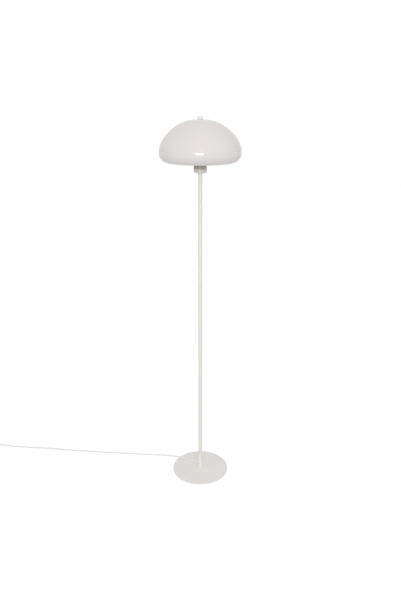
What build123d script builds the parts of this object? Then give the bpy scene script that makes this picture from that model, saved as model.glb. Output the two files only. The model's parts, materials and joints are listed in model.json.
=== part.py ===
from build123d import *
import os
from math import asin, cos, degrees, pi, radians, sin, sqrt, tan

# Mushroom floor lamp: a dome shade that a sheet strap carries over a screw-base bulb, on a slim
# three-piece pole and a heavy disc, with a mains cord, a foot switch and a plug.
# Millimetres, +Z up. The origin is on the floor, at the centre of the disc's underside.

os.makedirs("parts", exist_ok=True)

# ---- Fits -------------------------------------------------------------------------------
fit_gap = 0.1  # radial clearance where one piece is pushed or screwed into another for good
running_gap = 0.3  # radial clearance where a piece turns, slides or lifts off

# ---- Disc foot --------------------------------------------------------------------------
base_diameter = 240.0
base_thickness = 6.0
base_edge_radius = 2.5
base_under_chamfer = 0.8
base_recess_diameter = 34.0
base_recess_depth = 3.2
pad_thickness = 2.0
pad_margin = 5.0  # the pad ends this far inside the disc's edge, and outside its recess
foot_screw_diameter = 8.0
foot_screw_head_diameter = 16.0
foot_screw_head_height = 2.8
foot_screw_key = 5.0
foot_screw_key_depth = 1.8
foot_screw_grip = 13.0  # how far the screw reaches into the pole
foot_washer_diameter = 24.0
foot_washer_thickness = 1.2
foot_insert_length = 15.0

# ---- Pole -------------------------------------------------------------------------------
pole_diameter = 16.0
pole_wall = 1.2
pole_section_length = 428.8
pole_section_names = ["pole_lower", "pole_middle", "pole_upper"]
pole_end_chamfer = 0.4
coupler_length = 50.0
coupler_chamfer = 0.8
top_insert_length = 20.0

# ---- Mains cord -------------------------------------------------------------------------
cord_diameter = 5.5
cord_passage = 7.0  # bore of the pieces that the cord runs through inside the pole
exit_height = 29.0  # of the cord's way out through the pole's wall
exit_azimuth = 120.0  # from +X towards +Y
exit_dip = 30.0  # how steeply the exit points down
exit_hole_diameter = 9.0
exit_bend_radius = 12.0
relief_flange_diameter = 12.0
relief_flange_thickness = 1.5
relief_neck_diameter = 10.8  # of the pole relief's taper, if it went on to the pole's axis
relief_tip_wall = 0.7
relief_groove_width = 1.1
relief_groove_depth = 0.5
relief_end_land = 1.2  # the plain stretch at a relief's tip
pole_relief_first = 15.4  # from the pole's axis to its first groove
pole_relief_grooves = 5
relief_reach = 30.0  # from the pole's axis to the relief's tip
relief_barrel = 3.0  # length of the part that sits in the pole's hole
exit_straight = 15.0  # how far the cord runs straight on from the relief's tip

# ---- Lampholder -------------------------------------------------------------------------
nipple_diameter = 10.0
nipple_in_pole = 14.0
collar_diameter = 17.0
collar_height = 5.2
collar_chamfer = 0.6
cup_diameter = 48.3
cup_height = 14.2
cup_wall = 1.2
cup_corner_radius = 5.0
holder_base_diameter = 40.0
holder_base_wall = 3.0
holder_base_floor = 4.0
sleeve_diameter = 39.0
sleeve_gap = 0.3  # the sleeve stops this far under the bulb's neck
core_height = 14.0
core_screw_hole = 3.0
core_hole_spacing = 14.0
contact_diameter = 9.0
contact_thickness = 1.0
screw_shell_wall = 0.6
screw_shell_height = 22.0
screw_shell_lift = 2.0  # its lower edge stands this far above the contact

# ---- Shade rings ------------------------------------------------------------------------
ring_height = 13.5
upper_ring_height = 8.0
ring_chamfer = 1.0
ring_flutes = 12
flute_diameter = 7.0
flute_depth = 1.4

# ---- Strap frame that carries the shade -------------------------------------------------
frame_sheet = 1.5
frame_width = 12.0
frame_ring_diameter = 47.0
frame_foot_reach = 31.0
frame_belly_reach = 47.0
frame_belly_height = 67.0  # of the widest place above the frame's ring
frame_top_reach = 13.0
frame_height = 154.2  # from the frame's ring up to the top of the strap
frame_foot_bend = 4.0
frame_belly_bend = 45.0
frame_top_bend = 10.0
stud_diameter = 6.0
stud_head_across = 10.0
stud_head_height = 4.0
stud_nut_height = 3.0
stud_reach = 6.0  # how far the stud enters the finial
seat_washer_diameter = 26.0
seat_washer_thickness = 1.0
soft_washer_diameter = 24.0
soft_washer_thickness = 2.0

# ---- Shade ------------------------------------------------------------------------------
shade_wall = 2.5
shade_flat = 13.5  # radius of the flat at the top of the dome, where its arcs begin
crown_arc_radius = 137.0
crown_arc_angle = 24.5
shoulder_arc_radius = 168.0
shoulder_arc_angle = 30.0
flank_arc_radius = 87.0
flank_arc_angle = 35.5
rim_arc_radius = 35.0
rim_arc_angle = 115.0
top_washer_diameter = 15.0
top_washer_thickness = 1.0
finial_diameter = 18.8
finial_height = 9.0
finial_edge_radius = 1.6
finial_bore_spare = 0.5

# ---- Bulb -------------------------------------------------------------------------------
bulb_diameter = 60.0
bulb_length = 108.0
bulb_cap_diameter = 26.0
bulb_cap_length = 22.0
bulb_insulator_height = 3.5
bulb_tip_diameter = 9.0
bulb_tip_height = 1.5
bulb_neck_diameter = 29.0
bulb_body_length = 34.0

# ---- Foot switch ------------------------------------------------------------------------
switch_near_end = (-1030.0, 188.0)  # where the housing begins, on the lamp's side
switch_length = 76.0
switch_width = 40.0
switch_tray_height = 12.0
switch_cover_height = 10.0
switch_wall = 2.0
switch_edge_radius = 3.0
switch_parting = 0.5  # bevel on both halves of the housing, where they meet
switch_cord_height = 7.0
switch_post_diameter = 7.0
switch_post_place = (24.0, 10.0)  # from the housing's centre to a screw post
switch_screw_diameter = 3.0
switch_screw_head_diameter = 5.4
switch_screw_head_height = 2.0
switch_screw_recess = 4.0  # depth of the screw's recess in the underside
switch_screw_grip = 6.0  # how far the screw reaches into the cover
switch_screw_slot = (0.8, 0.9)  # width and depth
button_diameter = 24.0
button_stroke = 3.0
button_proud = 4.5
button_edge_radius = 1.5
button_skirt = 1.5
button_dish_diameter = 18.0
button_dish_depth = 0.9
switch_block_size = (30.0, 22.0)
relief_length = 20.0
relief_root_diameter = 9.5
relief_first = 2.2  # from a relief's root to its first groove
relief_grooves = 6

# ---- Plug -------------------------------------------------------------------------------
plug_length = 36.0
plug_width = 35.0
plug_thickness = 13.7
plug_nose_width = 26.0
plug_back_width = 13.0
plug_shoulder = (12.0, 28.0)  # how far from the back, and how wide there
plug_waist_length = 20.0  # from the back to where the body is widest
plug_edge_radius = 2.5
grip_grooves = 4
grip_pitch = 3.2
grip_groove = (14.0, 1.4)  # length and width
grip_depth = 0.5
grip_place = 13.5  # from the back to the middle of the grooves
pin_diameter = 4.0
pin_core_diameter = 3.0
pin_length = 19.0
pin_spacing = 18.6
pin_root = 6.0  # how far a pin is moulded into the body
pin_sleeve_diameter = 3.8
pin_sleeve_length = 10.0  # of the insulating sleeve, from the plug's face

# ---- Cord laid on the floor -------------------------------------------------------------
floor_lift = 0.05  # the cord's underside stands this much clear of the floor and the disc
coil_mean_diameter = 66.0
coil_pitch = 6.2
coil_layer_rise = 6.1
coil_turns_each_layer = 1.5
climb_turns = 0.5
coil_start = (-1170.0, 188.0)
lead_straight = (12.0, 11.0)  # the level runs after the switch and before the coil
tail_straight = 14.0  # the level runs after the coil and before the plug
tail_shift = (66.0, -3.0)  # from the coil's end to the plug's back, on the floor

# ---- Heights that follow ----------------------------------------------------------------
base_top = pad_thickness + base_thickness
pole_top = base_top + pole_section_length * len(pole_section_names)
pole_radius = pole_diameter / 2
pole_bore = pole_diameter - 2 * pole_wall
insert_diameter = pole_bore - 2 * fit_gap
collar_top = pole_top + collar_height
cup_floor = collar_top + cup_wall
cup_top = collar_top + cup_height
ring_bore = sleeve_diameter + 2 * running_gap
frame_seat = cup_top + ring_height
upper_ring_seat = frame_seat + frame_sheet
screw_shell_bore = bulb_cap_diameter + 2 * running_gap
screw_shell_outer = screw_shell_bore + 2 * screw_shell_wall
sleeve_bore = screw_shell_outer + 2 * fit_gap
core_diameter = sleeve_bore - 2 * fit_gap
core_base = cup_floor + holder_base_floor
contact_top = core_base + core_height + contact_thickness
bulb_bottom = contact_top + running_gap
tip_top = bulb_bottom + bulb_tip_height
insulator_top = tip_top + bulb_insulator_height
cap_top = insulator_top + bulb_cap_length
body_top = cap_top + bulb_body_length
bulb_top = bulb_bottom + bulb_length
sleeve_top = cap_top - sleeve_gap
frame_strap_top = frame_seat + frame_height
nut_top = frame_strap_top + stud_nut_height
seat_washer_top = nut_top + seat_washer_thickness
shade_inner_crown = seat_washer_top + soft_washer_thickness
shade_crown = shade_inner_crown + shade_wall
finial_seat = shade_crown + top_washer_thickness
stud_top = finial_seat + stud_reach
cord_radius = cord_diameter / 2
exit_centre = exit_height + pole_radius * tan(radians(exit_dip))
cup_radius = cup_diameter / 2


# ==== Disc foot ==========================================================================

with BuildPart() as base_plate:
    with BuildSketch(Plane.XY.offset(pad_thickness)):
        Circle(base_diameter / 2)
    extrude(amount=base_thickness)
    fillet(base_plate.edges().group_by(Axis.Z)[-1], radius=base_edge_radius)
    chamfer(base_plate.edges().group_by(Axis.Z)[0], length=base_under_chamfer)
    with Locations(Plane(origin=(0, 0, pad_thickness), z_dir=(0, 0, -1))):
        CounterBoreHole(
            foot_screw_diameter / 2 + fit_gap, base_recess_diameter / 2, base_recess_depth
        )
base_plate.part.label = "base_plate"
export_step(base_plate.part, "parts/base_plate.step")

with BuildPart() as base_pad:
    with BuildSketch():
        Circle(base_diameter / 2 - pad_margin)
        Circle(base_recess_diameter / 2 + pad_margin, mode=Mode.SUBTRACT)
    extrude(amount=pad_thickness)
base_pad.part.label = "base_pad"
export_step(base_pad.part, "parts/base_pad.step")

washer_top = pad_thickness + base_recess_depth
washer_bottom = washer_top - foot_washer_thickness
with BuildPart() as base_washer:
    with BuildSketch(Plane.XY.offset(washer_bottom)):
        Circle(foot_washer_diameter / 2)
        Circle(foot_screw_diameter / 2 + fit_gap, mode=Mode.SUBTRACT)
    extrude(amount=foot_washer_thickness)
base_washer.part.label = "base_washer"
export_step(base_washer.part, "parts/base_washer.step")

head_bottom = washer_bottom - foot_screw_head_height
with BuildPart() as base_screw:
    with BuildSketch(Plane.XY.offset(head_bottom)):
        Circle(foot_screw_head_diameter / 2)
    extrude(amount=foot_screw_head_height)
    fillet(base_screw.edges().group_by(Axis.Z)[0], radius=foot_screw_head_height / 3)
    with BuildSketch(Plane.XY.offset(washer_bottom)):
        Circle(foot_screw_diameter / 2)
    extrude(amount=base_top + foot_screw_grip - washer_bottom)
    chamfer(base_screw.edges().group_by(Axis.Z)[-1], length=coupler_chamfer)
    with BuildSketch(Plane.XY.offset(head_bottom)):
        RegularPolygon(foot_screw_key / 2, 6, major_radius=False)
    extrude(amount=foot_screw_key_depth, mode=Mode.SUBTRACT)
base_screw.part.label = "base_screw"
export_step(base_screw.part, "parts/base_screw.step")

with BuildPart() as foot_insert:
    with BuildSketch(Plane.XY.offset(base_top)):
        Circle(insert_diameter / 2)
        Circle(foot_screw_diameter / 2 + fit_gap, mode=Mode.SUBTRACT)
    extrude(amount=foot_insert_length)
    outer_top = foot_insert.edges().group_by(Axis.Z)[-1].sort_by(SortBy.RADIUS)[-1]
    chamfer(outer_top, length=coupler_chamfer)
foot_insert.part.label = "foot_insert"
export_step(foot_insert.part, "parts/foot_insert.step")


# ==== Pole ===============================================================================

# The exit axis leaves the pole's axis at exit_centre and points outwards and down.
exit_way = Vector(
    cos(radians(exit_dip)) * cos(radians(exit_azimuth)),
    cos(radians(exit_dip)) * sin(radians(exit_azimuth)),
    -sin(radians(exit_dip)),
)
exit_origin = Vector(0, 0, exit_centre)
exit_plane = Plane(origin=exit_origin, z_dir=exit_way)


def pole_section(height):
    """One tube of the pole, standing at that height, with its end edges eased."""
    with BuildPart() as tube:
        with BuildSketch(Plane.XY.offset(height)):
            Circle(pole_radius)
            Circle(pole_bore / 2, mode=Mode.SUBTRACT)
        extrude(amount=pole_section_length)
        ends = tube.edges().filter_by(GeomType.CIRCLE).group_by(SortBy.RADIUS)[-1]
        chamfer(ends, length=pole_end_chamfer)
    return tube.part


with BuildPart() as pole_lower:
    add(pole_section(base_top))
    with BuildSketch(exit_plane):
        Circle(exit_hole_diameter / 2)
    extrude(amount=pole_diameter, mode=Mode.SUBTRACT)
pole_lower.part.label = "pole_lower"
export_step(pole_lower.part, "parts/pole_lower.step")

with BuildPart() as pole_middle:
    add(pole_section(base_top + pole_section_length))
pole_middle.part.label = "pole_middle"
export_step(pole_middle.part, "parts/pole_middle.step")

with BuildPart() as pole_upper:
    add(pole_section(base_top + 2 * pole_section_length))
pole_upper.part.label = "pole_upper"
export_step(pole_upper.part, "parts/pole_upper.step")

with BuildPart() as pole_couplers:
    for joint in (1, 2):
        start = base_top + joint * pole_section_length - coupler_length / 2
        with BuildSketch(Plane.XY.offset(start)):
            Circle(insert_diameter / 2)
            Circle(cord_passage / 2, mode=Mode.SUBTRACT)
        extrude(amount=coupler_length)
    rims = pole_couplers.edges().filter_by(GeomType.CIRCLE).group_by(SortBy.RADIUS)[-1]
    chamfer(rims, length=coupler_chamfer)
pole_couplers.part.label = "pole_couplers"
export_step(pole_couplers.part, "parts/pole_couplers.step")

with BuildPart() as top_insert:
    with BuildSketch(Plane.XY.offset(pole_top - top_insert_length)):
        Circle(insert_diameter / 2)
        Circle(cord_passage / 2, mode=Mode.SUBTRACT)
    extrude(amount=top_insert_length)
    with BuildSketch(Plane.XY.offset(pole_top - nipple_in_pole)):
        Circle(nipple_diameter / 2 + fit_gap)
    extrude(amount=nipple_in_pole, mode=Mode.SUBTRACT)
top_insert.part.label = "top_insert"
export_step(top_insert.part, "parts/top_insert.step")

def groove_rings(root_plane, root_radius, length, first, grooves):
    """The rings to cut from a tapered relief, so that it has grooves from the height first on."""
    tip_radius = cord_radius + fit_gap + relief_tip_wall
    pitch = (length - first - relief_end_land) / grooves
    with BuildPart() as rings:
        for groove in range(grooves):
            start = first + groove * pitch
            wall_radius = root_radius + (tip_radius - root_radius) * start / length
            with BuildSketch(root_plane.offset(start)):
                Circle(2 * root_radius)
                Circle(wall_radius - relief_groove_depth, mode=Mode.SUBTRACT)
            extrude(amount=relief_groove_width)
    return rings.part


# The cord's strain relief: a flange saddled on the tube, a grooved taper, and a barrel in the
# tube's hole.
with BuildPart() as cord_relief:
    with BuildSketch(exit_plane):
        Circle(relief_flange_diameter / 2)
    extrude(amount=relief_reach)
    with BuildSketch():
        Circle(pole_radius + fit_gap + relief_flange_thickness)
    extrude(amount=pole_section_length, mode=Mode.INTERSECT)
    with Locations(exit_plane):
        Cone(
            relief_neck_diameter / 2,
            cord_radius + fit_gap + relief_tip_wall,
            relief_reach,
            align=(Align.CENTER, Align.CENTER, Align.MIN),
        )
    pole_relief = (relief_neck_diameter / 2, relief_reach, pole_relief_first, pole_relief_grooves)
    add(groove_rings(exit_plane, *pole_relief), mode=Mode.SUBTRACT)
    with BuildSketch():
        Circle(pole_radius + fit_gap)
    extrude(amount=pole_section_length, mode=Mode.SUBTRACT)
    with BuildSketch(exit_plane.offset(pole_radius / cos(radians(exit_dip)) - relief_barrel / 2)):
        Circle(exit_hole_diameter / 2 - fit_gap)
    extrude(amount=relief_barrel)
    with BuildSketch(exit_plane):
        Circle(cord_radius + fit_gap)
    extrude(amount=relief_reach, mode=Mode.SUBTRACT)
cord_relief.part.label = "cord_relief"
export_step(cord_relief.part, "parts/cord_relief.step")

relief_tip = exit_origin + exit_way * relief_reach
with BuildPart() as inner_cord:
    with BuildLine():
        FilletPolyline(
            (0, 0, core_base), (0, 0, exit_centre), relief_tip, radius=exit_bend_radius
        )
    with BuildSketch(Plane(origin=(0, 0, core_base), z_dir=(0, 0, -1))):
        Circle(cord_radius)
    sweep()
inner_cord.part.label = "inner_cord"
export_step(inner_cord.part, "parts/inner_cord.step")


# ==== Lampholder =========================================================================

with BuildPart() as holder_nipple:
    with BuildSketch(Plane.XY.offset(pole_top - nipple_in_pole)):
        Circle(nipple_diameter / 2)
        Circle(cord_passage / 2, mode=Mode.SUBTRACT)
    extrude(amount=core_base - pole_top + nipple_in_pole)
holder_nipple.part.label = "holder_nipple"
export_step(holder_nipple.part, "parts/holder_nipple.step")

with BuildPart() as neck_collar:
    with BuildSketch(Plane.XY.offset(pole_top)):
        Circle(collar_diameter / 2)
        Circle(nipple_diameter / 2 + fit_gap, mode=Mode.SUBTRACT)
    extrude(amount=collar_height)
    rims = neck_collar.edges().filter_by(GeomType.CIRCLE).group_by(SortBy.RADIUS)[-1]
    chamfer(rims, length=collar_chamfer)
neck_collar.part.label = "neck_collar"
export_step(neck_collar.part, "parts/neck_collar.step")

with BuildPart() as holder_cup:
    with BuildSketch(Plane.XZ):
        with BuildLine():
            FilletPolyline(
                (nipple_diameter / 2 + fit_gap, collar_top),
                (cup_radius, collar_top),
                (cup_radius, cup_top),
                radius=cup_corner_radius,
            )
            offset(amount=cup_wall, side=Side.LEFT)
        make_face()
    revolve(axis=Axis.Z)
holder_cup.part.label = "holder_cup"
export_step(holder_cup.part, "parts/holder_cup.step")

# The lower half of the lampholder: a moulded pot, screwed on the nipple inside the cup.
with BuildPart() as holder_base:
    with BuildSketch(Plane.XY.offset(cup_floor)):
        Circle(holder_base_diameter / 2)
    extrude(amount=cup_top - cup_floor)
    chamfer(holder_base.edges().group_by(Axis.Z)[0], length=cup_corner_radius - cup_wall)
    with BuildSketch(Plane.XY.offset(cup_floor + holder_base_floor)):
        Circle(holder_base_diameter / 2 - holder_base_wall)
    extrude(amount=cup_top - cup_floor, mode=Mode.SUBTRACT)
    with BuildSketch(Plane.XY.offset(cup_floor)):
        Circle(nipple_diameter / 2 + fit_gap)
    extrude(amount=holder_base_floor, mode=Mode.SUBTRACT)
holder_base.part.label = "holder_base"
export_step(holder_base.part, "parts/holder_base.step")

with BuildPart() as holder_core:
    with BuildSketch(Plane.XY.offset(core_base)):
        Circle(core_diameter / 2)
    extrude(amount=core_height)
    with GridLocations(core_hole_spacing, core_hole_spacing, 2, 2):
        Hole(core_screw_hole / 2)
holder_core.part.label = "holder_core"
export_step(holder_core.part, "parts/holder_core.step")

with BuildPart() as centre_contact:
    with BuildSketch(Plane.XY.offset(contact_top - contact_thickness)):
        Circle(contact_diameter / 2)
    extrude(amount=contact_thickness)
centre_contact.part.label = "centre_contact"
export_step(centre_contact.part, "parts/centre_contact.step")

with BuildPart() as holder_sleeve:
    with BuildSketch(Plane.XY.offset(cup_top)):
        Circle(sleeve_diameter / 2)
        Circle(sleeve_bore / 2, mode=Mode.SUBTRACT)
    extrude(amount=sleeve_top - cup_top)
    chamfer(holder_sleeve.edges().group_by(Axis.Z)[-1], length=ring_chamfer)
holder_sleeve.part.label = "holder_sleeve"
export_step(holder_sleeve.part, "parts/holder_sleeve.step")

with BuildPart() as screw_shell:
    with BuildSketch(Plane.XY.offset(contact_top + screw_shell_lift)):
        Circle(screw_shell_outer / 2)
        Circle(screw_shell_bore / 2, mode=Mode.SUBTRACT)
    extrude(amount=screw_shell_height)
screw_shell.part.label = "screw_shell"
export_step(screw_shell.part, "parts/screw_shell.step")


# ==== Shade rings ========================================================================


def fluted_ring(outer_diameter, height, thickness):
    """A screw ring with finger flutes down its outside and eased edges."""
    with BuildPart() as ring:
        with BuildSketch(Plane.XY.offset(height)):
            Circle(outer_diameter / 2)
        extrude(amount=thickness)
        chamfer(ring.edges().group_by(Axis.Z)[-1], length=ring_chamfer)
        flute_centre = outer_diameter / 2 + flute_diameter / 2 - flute_depth
        with BuildSketch(Plane.XY.offset(height)):
            with PolarLocations(flute_centre, ring_flutes, start_angle=180 / ring_flutes):
                Circle(flute_diameter / 2)
            Circle(ring_bore / 2)
        extrude(amount=thickness, mode=Mode.SUBTRACT)
    return ring.part


with BuildPart() as ring_lower:
    add(fluted_ring(cup_diameter, cup_top, ring_height))
ring_lower.part.label = "ring_lower"
export_step(ring_lower.part, "parts/ring_lower.step")

with BuildPart() as ring_upper:
    add(fluted_ring(frame_ring_diameter, upper_ring_seat, upper_ring_height))
ring_upper.part.label = "ring_upper"
export_step(ring_upper.part, "parts/ring_upper.step")


# ==== Strap frame ========================================================================

with BuildPart() as shade_frame:
    strap_base = frame_seat
    belly = frame_seat + frame_belly_height
    with BuildSketch(Plane.XZ.offset(-frame_width / 2)):
        with BuildLine():
            FilletPolyline(
                (ring_bore / 2 + frame_sheet, strap_base),
                (frame_foot_reach, strap_base),
                (frame_belly_reach, belly),
                (frame_top_reach, frame_strap_top),
                (-frame_top_reach, frame_strap_top),
                (-frame_belly_reach, belly),
                (-frame_foot_reach, strap_base),
                (-ring_bore / 2 - frame_sheet, strap_base),
                radius=[
                    frame_foot_bend,
                    frame_belly_bend,
                    frame_top_bend,
                    frame_top_bend,
                    frame_belly_bend,
                    frame_foot_bend,
                ],
            )
            offset(amount=frame_sheet, side=Side.LEFT)
        make_face()
    extrude(amount=frame_width)
    with BuildSketch(Plane.XY.offset(frame_seat)):
        Circle(frame_ring_diameter / 2)
        Circle(ring_bore / 2, mode=Mode.SUBTRACT)
    extrude(amount=frame_sheet)
    with BuildSketch(Plane.XY.offset(frame_strap_top)):
        Circle(stud_diameter / 2 + fit_gap)
    extrude(amount=-2 * frame_sheet, mode=Mode.SUBTRACT)
shade_frame.part.label = "shade_frame"
export_step(shade_frame.part, "parts/shade_frame.step")

stud_head_top = frame_strap_top - frame_sheet
with BuildPart() as frame_stud:
    with BuildSketch(Plane.XY.offset(stud_head_top - stud_head_height)):
        RegularPolygon(stud_head_across / 2, 6, major_radius=False)
    extrude(amount=stud_head_height)
    with BuildSketch(Plane.XY.offset(stud_head_top)):
        Circle(stud_diameter / 2)
    extrude(amount=stud_top - stud_head_top)
    chamfer(frame_stud.edges().group_by(Axis.Z)[-1], length=coupler_chamfer)
frame_stud.part.label = "frame_stud"
export_step(frame_stud.part, "parts/frame_stud.step")

with BuildPart() as frame_nut:
    with BuildSketch(Plane.XY.offset(frame_strap_top)):
        RegularPolygon(stud_head_across / 2, 6, major_radius=False)
        Circle(stud_diameter / 2 + fit_gap, mode=Mode.SUBTRACT)
    extrude(amount=stud_nut_height)
frame_nut.part.label = "frame_nut"
export_step(frame_nut.part, "parts/frame_nut.step")

with BuildPart() as seat_washer:
    with BuildSketch(Plane.XY.offset(nut_top)):
        Circle(seat_washer_diameter / 2)
        Circle(stud_diameter / 2 + fit_gap, mode=Mode.SUBTRACT)
    extrude(amount=seat_washer_thickness)
seat_washer.part.label = "seat_washer"
export_step(seat_washer.part, "parts/seat_washer.step")

with BuildPart() as soft_washer:
    with BuildSketch(Plane.XY.offset(seat_washer_top)):
        Circle(soft_washer_diameter / 2)
        Circle(stud_diameter / 2 + fit_gap, mode=Mode.SUBTRACT)
    extrude(amount=soft_washer_thickness)
soft_washer.part.label = "soft_washer"
export_step(soft_washer.part, "parts/soft_washer.step")


# ==== Shade and finial ===================================================================


shade_arcs = [
    (crown_arc_radius, crown_arc_angle),
    (shoulder_arc_radius, shoulder_arc_angle),
    (flank_arc_radius, flank_arc_angle),
    (rim_arc_radius, rim_arc_angle),
]


def dome_curve(inset):
    """The dome's outline from its axis to its lip, inset by that much: a flat and tangent arcs."""
    curve = [Line((0, shade_crown - inset), (shade_flat, shade_crown - inset))]
    for radius, sweep_angle in shade_arcs:
        curve.append(JernArc(curve[-1] @ 1, curve[-1] % 1, radius - inset, -sweep_angle))
    return curve


with BuildPart() as shade:
    with BuildSketch(Plane.XZ):
        with BuildLine():
            outside = dome_curve(0)
            inside = dome_curve(shade_wall)
            Line(outside[0] @ 0, inside[0] @ 0)
            JernArc(outside[-1] @ 1, outside[-1] % 1, shade_wall / 2, -180)
        make_face()
    revolve(axis=Axis.Z)
    with BuildSketch(Plane.XY.offset(shade_crown)):
        Circle(stud_diameter / 2 + running_gap)
    extrude(amount=-2 * shade_wall, mode=Mode.SUBTRACT)
shade.part.label = "shade"
export_step(shade.part, "parts/shade.step")

with BuildPart() as top_washer:
    with BuildSketch(Plane.XY.offset(shade_crown)):
        Circle(top_washer_diameter / 2)
        Circle(stud_diameter / 2 + running_gap, mode=Mode.SUBTRACT)
    extrude(amount=top_washer_thickness)
top_washer.part.label = "top_washer"
export_step(top_washer.part, "parts/top_washer.step")

with BuildPart() as finial:
    with BuildSketch(Plane.XY.offset(finial_seat)):
        Circle(finial_diameter / 2)
    extrude(amount=finial_height)
    fillet(finial.edges().group_by(Axis.Z)[-1], radius=finial_edge_radius)
    chamfer(finial.edges().group_by(Axis.Z)[0], length=collar_chamfer)
    with BuildSketch(Plane.XY.offset(finial_seat)):
        Circle(stud_diameter / 2 + running_gap)
    extrude(amount=stud_reach + finial_bore_spare, mode=Mode.SUBTRACT)
finial.part.label = "finial"
export_step(finial.part, "parts/finial.step")


# ==== Bulb ===============================================================================

with BuildPart() as bulb_tip:
    with BuildSketch(Plane.XY.offset(bulb_bottom)):
        Circle(bulb_tip_diameter / 2)
    extrude(amount=bulb_tip_height)
    fillet(bulb_tip.edges().group_by(Axis.Z)[0], radius=bulb_tip_height / 2)
bulb_tip.part.label = "bulb_tip"
export_step(bulb_tip.part, "parts/bulb_tip.step")

with BuildPart() as bulb_insulator:
    with BuildSketch(Plane.XY.offset(tip_top)):
        Circle(bulb_tip_diameter / 2)
    with BuildSketch(Plane.XY.offset(insulator_top)):
        Circle(bulb_cap_diameter / 2 - bulb_insulator_height)
    loft()
bulb_insulator.part.label = "bulb_insulator"
export_step(bulb_insulator.part, "parts/bulb_insulator.step")

with BuildPart() as bulb_cap:
    with BuildSketch(Plane.XY.offset(insulator_top)):
        Circle(bulb_cap_diameter / 2)
    extrude(amount=bulb_cap_length)
    chamfer(bulb_cap.edges().group_by(Axis.Z)[0], length=bulb_insulator_height / 2)
bulb_cap.part.label = "bulb_cap"
export_step(bulb_cap.part, "parts/bulb_cap.step")

# The globe is part of a sphere. The body below it carries its curve on down to the neck.
bulb_radius = bulb_diameter / 2
globe_centre = bulb_top - bulb_radius
foot_angle = asin((globe_centre - body_top) / bulb_radius)
globe_foot = (bulb_radius * cos(foot_angle), body_top)
foot_way = (-sin(foot_angle), -cos(foot_angle))
neck = (bulb_neck_diameter / 2, cap_top)

with BuildPart() as bulb_body:
    with BuildSketch(Plane.XZ):
        with BuildLine():
            TangentArc(globe_foot, neck, tangent=foot_way)
            Polyline(neck, (0, cap_top), (0, body_top), globe_foot)
        make_face()
    revolve(axis=Axis.Z)
bulb_body.part.label = "bulb_body"
export_step(bulb_body.part, "parts/bulb_body.step")

with BuildPart() as bulb_globe:
    with BuildSketch(Plane.XZ):
        with BuildLine():
            JernArc((0, bulb_top), (1, 0), bulb_radius, -90 - degrees(foot_angle))
            Polyline(globe_foot, (0, body_top), (0, bulb_top))
        make_face()
    revolve(axis=Axis.Z)
bulb_globe.part.label = "bulb_globe"
export_step(bulb_globe.part, "parts/bulb_globe.step")


# ==== Foot switch ========================================================================

switch_x, switch_y = switch_near_end
switch_centre = (switch_x - switch_length / 2, switch_y)
tray_top = switch_tray_height
cover_top = switch_tray_height + switch_cover_height


def slot_plane(height):
    """The level plane at that height, centred on the switch."""
    return Plane(origin=(*switch_centre, height))


post_x, post_y = switch_post_place
post_places = [(post_x, -post_y), (-post_x, post_y)]


def on_posts(height):
    """A level plane at that height for each of the two screw posts, which stand on a diagonal."""
    centre_x, centre_y = switch_centre
    return [Plane(origin=(centre_x + x, centre_y + y, height)) for x, y in post_places]


with BuildPart() as switch_tray:
    with BuildSketch(slot_plane(0)):
        SlotOverall(switch_length, switch_width)
    extrude(amount=switch_tray_height)
    fillet(switch_tray.edges().group_by(Axis.Z)[0], radius=switch_edge_radius)
    chamfer(switch_tray.edges().group_by(Axis.Z)[-1], length=switch_parting)
    with BuildSketch(slot_plane(switch_wall)):
        SlotOverall(switch_length - 2 * switch_wall, switch_width - 2 * switch_wall)
    extrude(amount=switch_tray_height, mode=Mode.SUBTRACT)
    with BuildSketch(Plane(origin=(*switch_centre, switch_cord_height), z_dir=(1, 0, 0))):
        Circle(cord_radius + fit_gap)
    extrude(amount=switch_length, both=True, mode=Mode.SUBTRACT)
    with BuildSketch(*on_posts(0)):
        Circle(switch_post_diameter / 2)
    extrude(amount=switch_tray_height)
    with BuildSketch(*on_posts(0)):
        Circle(switch_screw_head_diameter / 2 + fit_gap)
    extrude(amount=switch_screw_recess, mode=Mode.SUBTRACT)
    with BuildSketch(*on_posts(0)):
        Circle(switch_screw_diameter / 2 + fit_gap)
    extrude(amount=switch_tray_height, mode=Mode.SUBTRACT)
switch_tray.part.label = "switch_tray"
export_step(switch_tray.part, "parts/switch_tray.step")

with BuildPart() as switch_cover:
    with BuildSketch(slot_plane(tray_top)):
        SlotOverall(switch_length, switch_width)
    extrude(amount=switch_cover_height)
    fillet(switch_cover.edges().group_by(Axis.Z)[-1], radius=switch_edge_radius)
    chamfer(switch_cover.edges().group_by(Axis.Z)[0], length=switch_parting)
    with BuildSketch(slot_plane(tray_top)):
        SlotOverall(switch_length - 2 * switch_wall, switch_width - 2 * switch_wall)
    extrude(amount=switch_cover_height - switch_wall, mode=Mode.SUBTRACT)
    with BuildSketch(slot_plane(tray_top)):
        Circle(button_diameter / 2 + running_gap)
    extrude(amount=switch_cover_height, mode=Mode.SUBTRACT)
    with BuildSketch(*on_posts(tray_top)):
        Circle(switch_post_diameter / 2)
    extrude(amount=switch_cover_height - switch_wall)
    with BuildSketch(*on_posts(tray_top)):
        Circle(switch_screw_diameter / 2 + fit_gap)
    extrude(amount=switch_screw_grip + running_gap, mode=Mode.SUBTRACT)
switch_cover.part.label = "switch_cover"
export_step(switch_cover.part, "parts/switch_cover.step")

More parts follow.
